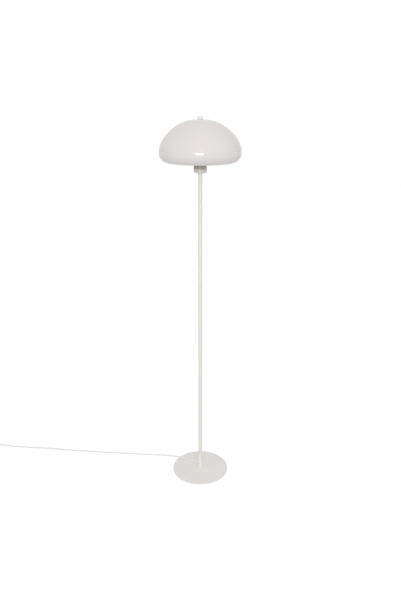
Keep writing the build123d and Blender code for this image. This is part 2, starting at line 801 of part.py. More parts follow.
screw_seat = switch_screw_recess
slot_width, slot_depth = switch_screw_slot
with BuildPart() as switch_screws:
    with BuildSketch(*on_posts(screw_seat)):
        Circle(switch_screw_head_diameter / 2)
    extrude(amount=-switch_screw_head_height)
    with BuildSketch(*on_posts(screw_seat)):
        Circle(switch_screw_diameter / 2)
    extrude(amount=tray_top + switch_screw_grip - screw_seat)
    with BuildSketch(*on_posts(screw_seat - switch_screw_head_height)):
        Rectangle(2 * switch_screw_head_diameter, slot_width)
    extrude(amount=slot_depth, mode=Mode.SUBTRACT)
switch_screws.part.label = "switch_screws"
export_step(switch_screws.part, "parts/switch_screws.step")

# The contact block fills the tray under the button, down to the floor of the housing.
button_floor = cover_top - switch_wall - button_skirt
block_top = button_floor - button_stroke - running_gap
with BuildPart() as switch_block:
    with BuildSketch(slot_plane(switch_wall)):
        Rectangle(*switch_block_size)
    extrude(amount=block_top - switch_wall)
switch_block.part.label = "switch_block"
export_step(switch_block.part, "parts/switch_block.step")

with BuildPart() as switch_button:
    with BuildSketch(slot_plane(button_floor)):
        Circle(button_diameter / 2 + button_skirt)
    extrude(amount=button_skirt - running_gap)
    with BuildSketch(slot_plane(button_floor)):
        Circle(button_diameter / 2)
    extrude(amount=cover_top + button_proud - button_floor)
    fillet(switch_button.edges().group_by(Axis.Z)[-1], radius=button_edge_radius)
    dish_radius = ((button_dish_diameter / 2) ** 2 + button_dish_depth**2) / (2 * button_dish_depth)
    with Locations((*switch_centre, cover_top + button_proud - button_dish_depth + dish_radius)):
        Sphere(dish_radius, mode=Mode.SUBTRACT)
switch_button.part.label = "switch_button"
export_step(switch_button.part, "parts/switch_button.step")


def relief_cone(root, way):
    """A grooved, tapered relief that stands on root and points along way, with the cord's bore."""
    root_plane = Plane(origin=root, z_dir=way)
    with BuildPart() as relief:
        with BuildSketch(root_plane):
            Circle(relief_root_diameter / 2)
        with BuildSketch(root_plane.offset(relief_length)):
            Circle(cord_radius + fit_gap + relief_tip_wall)
        loft()
        short_relief = (relief_root_diameter / 2, relief_length, relief_first, relief_grooves)
        add(groove_rings(root_plane, *short_relief), mode=Mode.SUBTRACT)
        with BuildSketch(root_plane):
            Circle(cord_radius + fit_gap)
        extrude(amount=relief_length, mode=Mode.SUBTRACT)
    return relief.part


lamp_side = Vector(switch_x, switch_y, switch_cord_height)
plug_side = Vector(switch_x - switch_length, switch_y, switch_cord_height)
with BuildPart() as switch_reliefs:
    add(relief_cone(lamp_side, (1, 0, 0)))
    add(relief_cone(plug_side, (-1, 0, 0)))
switch_reliefs.part.label = "switch_reliefs"
export_step(switch_reliefs.part, "parts/switch_reliefs.step")


# ==== Cord on the floor ==================================================================

floor_z = cord_radius + floor_lift
disc_z = base_top + cord_radius + floor_lift


def corner_radii(route):
    """The arc at each corner of a route: 0.45 of its shorter run, over the tangent of half the turn."""
    radii = []
    for before, corner, after in zip(route, route[1:], route[2:]):
        arriving = corner - before
        leaving = after - corner
        half_turn = radians(arriving.get_angle(leaving)) / 2
        radii.append(0.45 * min(arriving.length, leaving.length) / tan(half_turn))
    return radii


def cord_tube(route, name):
    """A round tube along a route, whose corners are arcs, with its figures printed."""
    radii = corner_radii(route)
    with BuildPart() as tube:
        with BuildLine() as path:
            FilletPolyline(*route, radius=radii)
        with BuildSketch(Plane(origin=route[0], z_dir=route[1] - route[0])):
            Circle(cord_radius)
        sweep()
    length = path.wires()[0].length
    expected = pi * cord_radius**2 * length
    print(name, "length", round(length, 1), "radii", [round(r) for r in radii])
    print(name, "volume over section times length", round(tube.part.volume / expected, 4))
    return tube.part


# From the relief on the pole, down on the disc, over its rim, and across the floor to the switch.
run_route = [
    relief_tip,
    relief_tip + exit_way * exit_straight,
    Vector(-32, 41.6, disc_z),
    Vector(-51, 51.3, disc_z),
    Vector(-75, 60, disc_z + 0.4),
    Vector(-98, 66.5, disc_z + 2.2),
    Vector(-118, 78, 8),
    Vector(-140, 91.5, floor_z),
    Vector(-176, 95.8, floor_z),
    Vector(-236, 97.6, floor_z),
    Vector(-300, 104.8, floor_z),
    Vector(-372, 112.2, floor_z),
    Vector(-444, 117.2, floor_z),
    Vector(-512, 125, floor_z),
    Vector(-580, 131.2, floor_z),
    Vector(-652, 141.4, floor_z),
    Vector(-722, 150.6, floor_z),
    Vector(-790, 156.4, floor_z),
    Vector(-858, 162.6, floor_z),
    Vector(-912, 169.6, floor_z),
    Vector(-946, 177.6, floor_z),
    Vector(-970, 184.6, 3.4),
    Vector(-991, 188.0, switch_cord_height),
    lamp_side + Vector(relief_length, 0, 0),
]
with BuildPart() as cord_run:
    add(cord_tube(run_route, "cord_run"))
cord_run.part.label = "cord_run"
export_step(cord_run.part, "parts/cord_run.step")

coil_x, coil_y = coil_start
coil_entry = Vector(coil_x + cord_diameter, coil_y, floor_z)
lead_start = plug_side - Vector(relief_length, 0, 0)
first_straight, last_straight = lead_straight
lead_route = [
    lead_start,
    lead_start - Vector(first_straight, 0, 0),
    coil_entry + Vector(last_straight, 0, 0),
    coil_entry,
]
with BuildPart() as cord_lead:
    add(cord_tube(lead_route, "cord_lead"))
cord_lead.part.label = "cord_lead"
export_step(cord_lead.part, "parts/cord_lead.step")


# ---- The coil: a spiral inwards, a climb of half a turn, and a spiral outwards on top ----------

inward = coil_pitch / (2 * pi)  # change of radius for each radian
all_turns = 2 * coil_turns_each_layer + climb_turns
coil_outer = coil_mean_diameter / 2 + coil_pitch * coil_turns_each_layer / 2
coil_inner = coil_outer - coil_pitch * coil_turns_each_layer
coil_centre = Vector(coil_x, coil_y - coil_outer, floor_z)


def coil_place(turns):
    """The coil's centreline after that many turns: the point there and the way that it runs."""
    angle = 2 * pi * turns
    climb_start = 2 * pi * coil_turns_each_layer
    climb_angle = 2 * pi * climb_turns
    share = min(max((angle - climb_start) / climb_angle, 0), 1)
    if share <= 0:
        radius, widening = coil_outer - inward * angle, -inward
    elif share >= 1:
        radius = coil_inner + inward * (angle - climb_start - climb_angle)
        widening = inward
    else:
        radius = coil_inner - inward * climb_angle * share * (1 - share)
        widening = inward * (2 * share - 1)
    rise = coil_layer_rise * share * share * (3 - 2 * share)
    climbing = coil_layer_rise * 6 * share * (1 - share) / climb_angle
    outward = Vector(cos(pi / 2 + angle), sin(pi / 2 + angle), 0)
    around = Vector(-outward.Y, outward.X, 0)
    way = around * radius + outward * widening + Vector(0, 0, climbing)
    return coil_centre + outward * radius + Vector(0, 0, rise), way.normalized()


def biarc(start, start_way, end, end_way):
    """Two arcs from start to end, tangent to both ways and to each other."""
    chord = end - start
    along = chord.dot(start_way + end_way)
    bend = 1 - start_way.dot(end_way)
    reach = (sqrt(along**2 + 2 * bend * chord.dot(chord)) - along) / (2 * bend)
    near = start + start_way * reach
    far = end - end_way * reach
    middle = (near + far) * 0.5
    TangentArc(start, middle, tangent=start_way)
    TangentArc(middle, end, tangent=far - near)


quarters = round(4 * all_turns)
places = [coil_place(k / 4) for k in range(quarters + 1)]
# The spiral's ends run square to the straight pieces that meet them.
places[0] = (places[0][0], Vector(-1, 0, 0))
places[-1] = (places[-1][0], Vector(1, 0, 0))
with BuildPart() as cord_coil:
    with BuildLine() as turns_line:
        Line(coil_entry, places[0][0])
        for (start, start_way), (end, end_way) in zip(places, places[1:]):
            biarc(start, start_way, end, end_way)
        coil_exit = places[-1][0] + Vector(cord_diameter, 0, 0)
        Line(places[-1][0], coil_exit)
    with BuildSketch(Plane(origin=coil_entry, z_dir=(-1, 0, 0))):
        Circle(cord_radius)
    sweep()
cord_coil.part.label = "cord_coil"
export_step(cord_coil.part, "parts/cord_coil.step")

coil_length = turns_line.wires()[0].length
coil_volume = pi * cord_radius**2 * coil_length
print("cord_coil length", round(coil_length, 1), "turns", all_turns)
print("cord_coil volume over section times length", round(cord_coil.part.volume / coil_volume, 4))
samples_a_turn = 90
track = [coil_place(k / samples_a_turn)[0] for k in range(round(samples_a_turn * all_turns))]
least = min(
    (track[i] - track[j]).length
    for i in range(len(track))
    for j in range(i + samples_a_turn // 3, len(track))
)
print("cord_coil least gap to itself", round(least - cord_diameter, 3))


# ==== Plug ===============================================================================

plug_axis = plug_thickness / 2
tail_start = coil_exit
tail_along, tail_aside = tail_shift
plug_back = Vector(tail_start.X + tail_along, tail_start.Y + tail_aside, plug_axis)
tail_end = plug_back - Vector(relief_length, 0, 0)
tail_route = [
    tail_start,
    tail_start + Vector(tail_straight, 0, 0),
    tail_end - Vector(tail_straight, 0, 0),
    tail_end,
]
with BuildPart() as cord_tail:
    add(cord_tube(tail_route, "cord_tail"))
cord_tail.part.label = "cord_tail"
export_step(cord_tail.part, "parts/cord_tail.step")

with BuildPart() as plug_relief:
    add(relief_cone(plug_back, (-1, 0, 0)))
plug_relief.part.label = "plug_relief"
export_step(plug_relief.part, "parts/plug_relief.step")

# A flat two-pin plug: a waisted body lying on its broad side, wider at the cord's end.
plug_front = plug_back + Vector(plug_length, 0, 0)
pin_foot = plug_front - Vector(pin_root, 0, 0)
pin_plane = Plane(origin=pin_foot, x_dir=(0, 1, 0), z_dir=(1, 0, 0))
with BuildPart() as plug_body:
    with BuildSketch(Plane(origin=(plug_back.X, plug_back.Y, 0))):
        with BuildLine():
            shoulder_place, shoulder_width = plug_shoulder
            Polyline(
                (0, 0),
                (0, plug_back_width / 2),
                (shoulder_place, shoulder_width / 2),
                (plug_waist_length, plug_width / 2),
                (plug_length, plug_nose_width / 2),
                (plug_length, 0),
            )
            mirror(about=Plane.XZ)
        make_face()
    extrude(amount=plug_thickness)
    upright = plug_body.edges().filter_by(Axis.Z)
    fillet(upright, radius=plug_edge_radius)
    fillet(plug_body.edges().group_by(Axis.Z)[-1], radius=plug_edge_radius)
    fillet(plug_body.edges().group_by(Axis.Z)[0], radius=plug_edge_radius)
    grip_x, grip_y = plug_back.X + grip_place, plug_back.Y
    for face_height, cut in ((0, grip_depth), (plug_thickness, -grip_depth)):
        with BuildSketch(Plane(origin=(grip_x, grip_y, face_height))):
            with GridLocations(grip_pitch, 0, grip_grooves, 1):
                SlotOverall(*grip_groove, rotation=90)
        extrude(amount=cut, mode=Mode.SUBTRACT)
    with BuildSketch(pin_plane):
        with GridLocations(pin_spacing, 0, 2, 1):
            Circle(pin_sleeve_diameter / 2 + fit_gap)
    extrude(amount=pin_root, mode=Mode.SUBTRACT)
plug_body.part.label = "plug_body"
export_step(plug_body.part, "parts/plug_body.step")

with BuildPart() as pin_sleeves:
    with BuildSketch(pin_plane):
        with GridLocations(pin_spacing, 0, 2, 1):
            Circle(pin_sleeve_diameter / 2)
            Circle(pin_core_diameter / 2 + fit_gap, mode=Mode.SUBTRACT)
    extrude(amount=pin_root + pin_sleeve_length)
pin_sleeves.part.label = "pin_sleeves"
export_step(pin_sleeves.part, "parts/pin_sleeves.step")

with BuildPart() as plug_pins:
    with BuildSketch(pin_plane):
        with GridLocations(pin_spacing, 0, 2, 1):
            Circle(pin_core_diameter / 2)
    extrude(amount=pin_root + pin_sleeve_length)
    with BuildSketch(pin_plane.offset(pin_root + pin_sleeve_length)):
        with GridLocations(pin_spacing, 0, 2, 1):
            Circle(pin_diameter / 2)
    extrude(amount=pin_length - pin_sleeve_length)
    fillet(plug_pins.edges().group_by(Axis.X)[-1], radius=pin_diameter / 4)
plug_pins.part.label = "plug_pins"
export_step(plug_pins.part, "parts/plug_pins.step")
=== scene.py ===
# %% [markdown]
# # Dressing a mushroom floor lamp
# The lamp's construction comes from CAD: a disc foot, a jointed tube, a lampholder, an opal dome,
# and a mains cord with its foot switch and plug. This lesson adds what CAD leaves out, which is
# soft cords, ribbed strain reliefs, screw threads and the finish of every surface. Each step says
# what the real thing is, how it could be made, and why it is made as it is here.

# %% Load the lamp
import bpy
import bmesh
import json
from math import cos, degrees, pi, radians, sin, tan
from mathutils import Matrix, Vector

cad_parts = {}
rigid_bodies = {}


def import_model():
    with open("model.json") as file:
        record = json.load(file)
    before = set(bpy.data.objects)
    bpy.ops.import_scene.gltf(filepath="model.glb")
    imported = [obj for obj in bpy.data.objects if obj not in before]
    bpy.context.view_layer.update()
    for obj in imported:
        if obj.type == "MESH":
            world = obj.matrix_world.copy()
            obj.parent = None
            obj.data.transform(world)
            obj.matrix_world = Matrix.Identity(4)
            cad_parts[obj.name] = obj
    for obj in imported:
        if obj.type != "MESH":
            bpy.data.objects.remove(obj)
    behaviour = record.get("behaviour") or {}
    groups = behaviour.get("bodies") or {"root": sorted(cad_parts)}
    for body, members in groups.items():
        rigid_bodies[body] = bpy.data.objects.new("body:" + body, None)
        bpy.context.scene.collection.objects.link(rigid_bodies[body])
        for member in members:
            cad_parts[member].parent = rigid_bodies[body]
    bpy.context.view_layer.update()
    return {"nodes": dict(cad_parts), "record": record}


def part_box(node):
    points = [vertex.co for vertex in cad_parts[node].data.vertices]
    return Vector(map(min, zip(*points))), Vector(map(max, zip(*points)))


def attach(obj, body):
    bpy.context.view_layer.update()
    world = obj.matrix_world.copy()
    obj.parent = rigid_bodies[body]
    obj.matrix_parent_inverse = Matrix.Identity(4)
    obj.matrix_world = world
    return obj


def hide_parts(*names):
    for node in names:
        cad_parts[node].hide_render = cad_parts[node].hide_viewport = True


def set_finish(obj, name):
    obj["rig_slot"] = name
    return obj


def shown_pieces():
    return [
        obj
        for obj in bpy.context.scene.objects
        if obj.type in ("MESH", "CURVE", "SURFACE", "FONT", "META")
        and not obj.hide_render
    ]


for leftover in list(bpy.data.objects):  # the start-up cube, lamp and camera
    bpy.data.objects.remove(leftover)
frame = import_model()
mm = 0.001

# %% [markdown]
# ## The camera
# The photographer stood a little over two metres from the lamp, with the camera just above the
# top of the shade and tipped down. A camera can be matched by eye, but two round things at known
# heights, the disc and the shade's rim, fix its distance, height and tilt by calculation, so the
# numbers below come from those. The photograph is upright, so the sensor's 36 mm run along its
# height.

# %% Place the camera
camera_back = 2.132
camera_aside = 0.001
camera_height = 1.529
camera_tilt = radians(71.01)
focal_length = 33.52
sensor_height = 36.0

camera_data = bpy.data.cameras.new("photo_camera")
camera_data.lens = focal_length
camera_data.sensor_width = sensor_height
camera = bpy.data.objects.new("photo_camera", camera_data)
camera.location = (camera_aside, -camera_back, camera_height)
camera.rotation_euler = (camera_tilt, 0, 0)
bpy.context.scene.collection.objects.link(camera)
bpy.context.scene.camera = camera
print("camera looks down by", round(90 - degrees(camera_tilt), 2), "degrees")

# %% [markdown]
# ## The mains cord
# A lamp cord is a round PVC lead 5.5 mm thick. It leaves the pole through a strain relief, drops
# on the disc, slips over its rim and runs across the floor in slight waves. One smooth curve is
# the right tool: a NURBS spline of order 3 is pulled towards its points and never kinks, as a
# stiff lead doesn't. A curve's thickness is its bevel depth times each point's radius. The radius
# is 1 m until it is set, and Blender counts it into the curve's box, so here the radius holds the
# cord's size and the bevel depth is 1. The order has to be set after the points are there, or
# Blender lowers it and the curve turns into straight runs.


# %% A helper that lays a cord
cord_across = 5.5
cord_diameter = cord_across * mm
steps_between_points = 8
corners_a_quarter = 5


def lay_cord(name, points):
    """A round cord of one open NURBS spline that follows the points, given in metres."""
    curve = bpy.data.curves.new(name, "CURVE")
    curve.dimensions = "3D"
    curve.resolution_u = steps_between_points
    curve.bevel_depth = 1.0
    curve.bevel_resolution = corners_a_quarter
    curve.use_fill_caps = True
    spline = curve.splines.new("NURBS")
    spline.points.add(len(points) - 1)
    for control, place in zip(spline.points, points):
        control.co = (*place, 1.0)
        control.radius = cord_diameter / 2
    spline.order_u = 3
    spline.use_endpoint_u = True
    cord = bpy.data.objects.new(name, curve)
    bpy.context.scene.collection.objects.link(cord)
    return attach(cord, "lamp")


print("cords are", cord_across, "mm thick")

# %% [markdown]
# The way out of the pole points back and to the left, and down by 30 degrees. From the relief's
# tip the points, in millimetres, follow the floor of the photograph. The cord's middle is 10.8 mm
# up where it lies on the disc, and 2.8 mm up where it lies on the floor.

# %% The cord from the pole to the foot switch
pole_radius = 8 * mm
exit_height = 29 * mm
exit_azimuth, exit_dip = radians(120), radians(30)
exit_way = Vector(
    (cos(exit_dip) * cos(exit_azimuth), cos(exit_dip) * sin(exit_azimuth), -sin(exit_dip))
)
exit_centre = Vector((0, 0, exit_height + pole_radius * tan(exit_dip)))
relief_reach = 30 * mm
exit_straight = 15 * mm
relief_tip = exit_centre + exit_way * relief_reach
on_disc = 10.8
on_floor = 2.8
in_switch = 7.0
switch_line = 188
floor_route = [
    (-32, 41.6, on_disc), (-51, 51.3, on_disc), (-75, 60, on_disc + 0.4),
    (-98, 66.5, on_disc + 2.2), (-118, 78, 8), (-140, 91.5, on_floor), (-176, 95.8, on_floor),
    (-236, 97.6, on_floor), (-300, 104.8, on_floor), (-372, 112.2, on_floor),
    (-444, 117.2, on_floor), (-512, 125, on_floor), (-580, 131.2, on_floor),
    (-652, 141.4, on_floor), (-722, 150.6, on_floor), (-790, 156.4, on_floor),
    (-858, 162.6, on_floor), (-912, 169.6, on_floor), (-946, 177.6, on_floor),
    (-970, 184.6, 3.4), (-991, switch_line, in_switch), (-1010, switch_line, in_switch),
]
run_points = [relief_tip, relief_tip + exit_way * exit_straight]
run_points += [Vector(place) * mm for place in floor_route]
run_cord = lay_cord("run_cord", run_points)
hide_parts("cord_run")
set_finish(run_cord, "cord_white")
print("run_cord has", len(run_points), "points")

# %% [markdown]
# ## The spare length
# The photograph ends before the cord does. The rest, with the foot switch and the plug, lies just
# past the left edge of the view, wound into a small neat coil. A spiral inwards on the floor, half
# a turn that climbs by one cord, and a spiral outwards on top give a coil that never passes
# through itself. A loop works out its points, sixteen to a turn.

# %% The coil's shape
switch_far_end = Vector((-1106, switch_line, in_switch))
relief_length = 20
coil_start = Vector((-1170, switch_line, on_floor))
coil_width = 66
coil_pitch = 6.2
layer_rise = 6.1
layer_turns = 1.5
climb_turns = 0.5
coil_outer = coil_width / 2 + coil_pitch * layer_turns / 2
coil_inner = coil_outer - coil_pitch * layer_turns
coil_centre = coil_start - Vector((0, coil_outer, 0))


def coil_place(turns):
    """The middle of the cord, in millimetres, after that many turns of the coil."""
    share = min(max((turns - layer_turns) / climb_turns, 0), 1)
    if share <= 0:
        radius = coil_outer - coil_pitch * turns
    elif share >= 1:
        radius = coil_inner + coil_pitch * (turns - layer_turns - climb_turns)
    else:
        radius = coil_inner - coil_pitch * climb_turns * share * (1 - share)
    angle = pi / 2 + 2 * pi * turns
    rise = layer_rise * share * share * (3 - 2 * share)
    return coil_centre + Vector((radius * cos(angle), radius * sin(angle), rise))


all_turns = 2 * layer_turns + climb_turns
print("coil of", all_turns, "turns,", round(2 * coil_outer + cord_across), "mm across")

# %% The cord from the switch to the plug
points_a_turn = 16
steps = round(points_a_turn * all_turns)
tail_reach, tail_aside = 66, 3
plug_thickness = 13.7
lead_straight, entry_straight, tail_straight = 12, 11, 14


def right_of(place, distance):
    """The point that lies so far to the right of a place."""
    return place + Vector((distance, 0, 0))


lead_start = right_of(switch_far_end, -relief_length)
coil_entry = right_of(coil_start, cord_across)
coil_exit = right_of(coil_place(all_turns), cord_across)
plug_back = Vector((coil_exit.x + tail_reach, coil_exit.y - tail_aside, plug_thickness / 2))
tail_end = right_of(plug_back, -relief_length)
plug_points = [lead_start, right_of(lead_start, -lead_straight)]
plug_points += [right_of(coil_entry, entry_straight), coil_entry]
plug_points += [coil_place(step / points_a_turn) for step in range(steps + 1)]
plug_points += [coil_exit, right_of(coil_exit, tail_straight)]
plug_points += [right_of(tail_end, -tail_straight), tail_end]
plug_points = [place * mm for place in plug_points]
plug_cord = lay_cord("plug_cord", plug_points)
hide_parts("cord_lead", "cord_coil", "cord_tail")
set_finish(plug_cord, "cord_white")
print("plug_cord has", len(plug_points), "points")

# %% [markdown]
# ## Building round things
# Nearly every piece of a lamp is turned: its outline goes once round an axis. In bmesh that is a
# spin: a chain of edges is swept round, and the last copy is merged with the first. Small helpers
# do it for any outline, turn the piece to its axis, and send its normals outwards.


# %% Helpers that turn an outline into a piece
crease_angle = radians(35)


def add_piece(name, mesh_builder, body, slot):
    """Stores a bmesh as a smooth piece that rides on a body and takes its finish from a slot."""
    bmesh.ops.recalc_face_normals(mesh_builder, faces=mesh_builder.faces)
    mesh = bpy.data.meshes.new(name)
    mesh_builder.to_mesh(mesh)
    mesh_builder.free()
    mesh.shade_smooth()
    mesh.set_sharp_from_angle(angle=crease_angle)
    piece = bpy.data.objects.new(name, mesh)
    bpy.context.scene.collection.objects.link(piece)
    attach(piece, body)
    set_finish(piece, slot)
    return piece


def chain(builder, outline, closed):
    """Edges through the outline's (radius, height) points, in the plane y = 0."""
    corners = [builder.verts.new((radius, 0, height)) for radius, height in outline]
    pairs = zip(corners, corners[1:] + corners[:1] if closed else corners[1:])
    edges = [builder.edges.new(pair) for pair in pairs]
    return corners + edges


def turned(outline, steps=48, closed=True):
    """A bmesh made by one full turn of an outline about +Z."""
    builder = bmesh.new()
    bmesh.ops.spin(
        builder, geom=chain(builder, outline, closed), cent=(0, 0, 0), axis=(0, 0, 1),
        angle=2 * pi, steps=steps, use_merge=True,
    )
    bmesh.ops.remove_doubles(builder, verts=builder.verts, dist=1e-6)
    return builder


def aim(builder, root, way):
    """Moves a piece that was built along +Z so that it stands on root and points along way."""
    turn = Vector(way).to_track_quat("Z", "Y").to_matrix().to_4x4()
    bmesh.ops.transform(builder, matrix=Matrix.Translation(root) @ turn, verts=builder.verts)


def join(builder, part):
    """Moves all of one bmesh into another. A mesh carries it over, and is removed again."""
    carried = bpy.data.meshes.new("carried")
    part.to_mesh(carried)
    part.free()
    builder.from_mesh(carried)
    bpy.data.meshes.remove(carried)


print("helpers ready")

# %% [markdown]
# ## Strain reliefs
# Where a cord leaves a housing, a soft sleeve keeps it from folding at the edge. It tapers to the
# cord and is cut by grooves, so that it bends more and more towards its tip. The outline goes down
# the bore, across the root and up the grooved taper, so one spin makes a closed sleeve.


# %% Make the ribbed reliefs
bore_radius = cord_diameter / 2 + 0.05 * mm
tip_radius = cord_diameter / 2 + 0.8 * mm
tip_land, tip_bead, tip_round = 1.2 * mm, 0.15 * mm, 0.5 * mm
groove_depth, least_wall = 0.55 * mm, 0.25 * mm
bed_from, bed_to, groove_end = 0.18, 0.42, 0.6  # as shares of the pitch


def ribbed_outline(foot, length, root_radius, grooves, first):
    """A closed outline: the bore, the foot's points and a taper grooved from a height on."""
    slope = (tip_radius - root_radius) / length
    pitch = (length - first - tip_land) / grooves
    outline = [(bore_radius, length), (bore_radius, 0), *foot]
    for groove in range(grooves):
        start = first + groove * pitch
        wall = root_radius + slope * start
        bed = max(wall - groove_depth, bore_radius + least_wall)
        outline += [
            (wall, start), (bed, start + bed_from * pitch), (bed, start + bed_to * pitch),
            (wall + slope * groove_end * pitch, start + groove_end * pitch),
        ]
    return outline + [(tip_radius + tip_bead, length - tip_round), (tip_radius, length)]


short_root, short_grooves, short_first = 4.75 * mm, 6, 2.2 * mm
plain_relief = ribbed_outline(
    [(short_root, 0)], relief_length * mm, short_root, short_grooves, short_first
)
relief_places = {
    "switch_relief_in": (Vector((-1030, switch_line, in_switch)) * mm, (1, 0, 0)),
    "switch_relief_out": (switch_far_end * mm, (-1, 0, 0)),
    "plug_sleeve": (plug_back * mm, (-1, 0, 0)),
}
for sleeve_name, (root, way) in relief_places.items():
    sleeve = turned(plain_relief)
    aim(sleeve, root, way)
    add_piece(sleeve_name, sleeve, "lamp", "cord_white")
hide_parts("switch_reliefs")
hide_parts("switch_reliefs")
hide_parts("plug_relief")

# %% [markdown]
# The relief on the pole also has a flange, and the flange is saddled: its face follows the round
# tube. It is spun flat, and then each point of it slides along the exit's way until it lies as far
# from the pole's axis as the flange is thick there.

# %% The relief on the pole
flange_radius, flange_thickness, flange_round = 6.0 * mm, 1.5 * mm, 0.4 * mm
flange_gap = 0.1 * mm
neck_radius, neck_grooves, neck_first = 4.9 * mm, 5, 6.0 * mm
collar_from = 9.4 * mm
hair = 0.01 * mm
flange_points = [
    (flange_radius, 0), (flange_radius, flange_thickness - flange_round),
    (flange_radius - flange_round, flange_thickness), (neck_radius, flange_thickness),
]
pole_relief = turned(ribbed_outline(
    flange_points, relief_reach - collar_from, neck_radius, neck_grooves, neck_first
))
flange = [
    (vert, vert.co.z) for vert in pole_relief.verts if vert.co.z < flange_thickness + hair
]
aim(pole_relief, exit_centre + exit_way * collar_from, exit_way)
flat_way = exit_way.xy
for vert, height in flange:
    reach = pole_radius + flange_gap + height
    along = vert.co.xy.dot(flat_way)
    square = along**2 - flat_way.length_squared * (vert.co.xy.length_squared - reach**2)
    vert.co += exit_way * (square**0.5 - along) / flat_way.length_squared
pole_sleeve = add_piece("pole_sleeve", pole_relief, "lamp", "cord_white")
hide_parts("cord_relief")
print("pole_sleeve ends", round(relief_reach / mm), "mm from the pole's axis")

# %% [markdown]
# The run of cord that the photograph shows, and a little more up to the switch, is 1.03 m.
# The part after the switch is 0.81 m, most of it in the coil.

print("two cords laid")

# %% [markdown]
# ## Screw threads
# CAD keeps a thread as a plain cylinder, because a helix is heavy and nothing is measured on it.
# Here it shows: above the dark rings on the lampholder's sleeve, and on the stud when the shade is
# lifted. A thread is one ridge that climbs as it goes round, and a spin makes it when it is told
# how far to climb at each step. A cut through both ends keeps it to its length.


# %% A helper that winds a thread
ridge_share = 0.98  # of the pitch, so that one turn's foot doesn't touch the next one's


def wind_ridge(builder, radius, depth, pitch, low, high, steps=32):
    """Adds a ridge that reaches that depth inside and outside a radius to a bmesh."""
    turns = int((high - low) / pitch) + 2
    foot = radius - depth
    start = low - pitch
    ridge = bmesh.new()
    outline = [
        (foot, start), (radius + depth, start + pitch / 2), (foot, start + pitch * ridge_share)
    ]
    bmesh.ops.spin(
        ridge, geom=chain(ridge, outline, closed=True), cent=(0, 0, 0), axis=(0, 0, 1),
        dvec=(0, 0, pitch / steps), angle=2 * pi * turns, steps=steps * turns,
    )
    for height, side in ((low, -1), (high, 1)):
        everything = ridge.verts[:] + ridge.edges[:] + ridge.faces[:]
        cut = bmesh.ops.bisect_plane(
            ridge, geom=everything, plane_co=(0, 0, height), plane_no=(0, 0, side),
            clear_outer=True,
        )
        rim = [part for part in cut["geom_cut"] if isinstance(part, bmesh.types.BMEdge)]
        bmesh.ops.holes_fill(ridge, edges=rim)
    join(builder, ridge)
    return turns


print("a ridge takes up", ridge_share, "of its pitch")

# %% The thread on the lampholder's sleeve
sleeve_low, sleeve_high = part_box("holder_sleeve")
sleeve_thread_depth, sleeve_pitch, plain_end = 0.24 * mm, 2.5 * mm, 1 * mm
sleeve_steps = 64
sleeve_builder = bmesh.new()
sleeve_turns = wind_ridge(
    sleeve_builder, sleeve_high.x, sleeve_thread_depth, sleeve_pitch, sleeve_low.z + plain_end,
    sleeve_high.z - plain_end, sleeve_steps,
)
sleeve_thread = add_piece("sleeve_thread", sleeve_builder, "lamp", "holder_plastic")
print("sleeve_thread:", sleeve_turns, "turns,", len(sleeve_thread.data.polygons), "faces")

# %% [markdown]
# The stud is a hexagon bolt, standing head down in the strap. Its thread is cut into the shank, so
# the shank under the ridge is thinner than the CAD cylinder, and the bolt replaces the CAD node.

# %% The stud that carries the shade
stud_low, stud_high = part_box("frame_stud")
head_across, head_height, head_bevel = 10 * mm, 4 * mm, 0.35 * mm
stud_radius, stud_thread_depth, stud_pitch = 3.0 * mm, 0.3 * mm, 1.0 * mm
stud_chamfer, sunk_in_head = 0.5 * mm, 1 * mm

stud_builder = bmesh.new()
head_corner = head_across / 2 / cos(pi / 6)
bmesh.ops.create_cone(
    stud_builder, cap_ends=True, segments=6, radius1=head_corner, radius2=head_corner,
    depth=head_height, matrix=Matrix.Translation((0, 0, stud_low.z + head_height / 2)),
)
heights = {edge: [vert.co.z for vert in edge.verts] for edge in stud_builder.edges}
level_edges = [edge for edge, ends in heights.items() if abs(ends[0] - ends[1]) < mm]
bmesh.ops.bevel(
    stud_builder, geom=level_edges, offset=head_bevel, segments=2, profile=0.5,
    affect="EDGES", material=-1,
)
core_radius = stud_radius - 2 * stud_thread_depth
shank_foot = stud_low.z + head_height
thread_top = stud_high.z - stud_chamfer
shank_outline = [
    (0, shank_foot - sunk_in_head), (core_radius, shank_foot - sunk_in_head),
    (core_radius, thread_top), (core_radius - stud_chamfer, stud_high.z), (0, stud_high.z),
]
join(stud_builder, turned(shank_outline, 32, closed=False))
stud_turns = wind_ridge(
    stud_builder, stud_radius - stud_thread_depth, stud_thread_depth, stud_pitch, shank_foot,
    thread_top,
)
threaded_stud = add_piece("threaded_stud", stud_builder, "lamp", "zinc_steel")
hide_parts("frame_stud")
print("threaded_stud:", stud_turns, "turns,", len(threaded_stud.data.polygons), "faces")

# %% [markdown]
# ## Colours and finishes
# A colour that is picked on screen is sRGB, while a shader works with linear light, so a helper
# converts it. No real surface is one flat colour: paint and plastic drift a little in tone and
# gloss, and have a fine grain. A finish is therefore mixed from three noises, one for the tone,
# one for the gloss and a fine one for relief, all in the piece's own coordinates and metres.


# %% A helper for colours
def srgb(red, green, blue):
    """A colour picked on screen, from 0 to 255, as the linear values that a shader takes."""
    shares = [value / 255 for value in (red, green, blue)]
    linear = [s / 12.92 if s <= 0.04045 else ((s + 0.055) / 1.055) ** 2.4 for s in shares]
    return (*linear, 1.0)


print("half grey on screen is", round(srgb(128, 128, 128)[0], 3), "in linear light")


# %% Helpers that mix a finish
def noise(tree, place, size, detail=3.0):
    """A noise whose patches are about that size, in metres."""
    texture = tree.nodes.new("ShaderNodeTexNoise")
    texture.inputs["Scale"].default_value = 1 / size
    texture.inputs["Detail"].default_value = detail
    tree.links.new(place, texture.inputs["Vector"])
    return texture.outputs["Fac"]


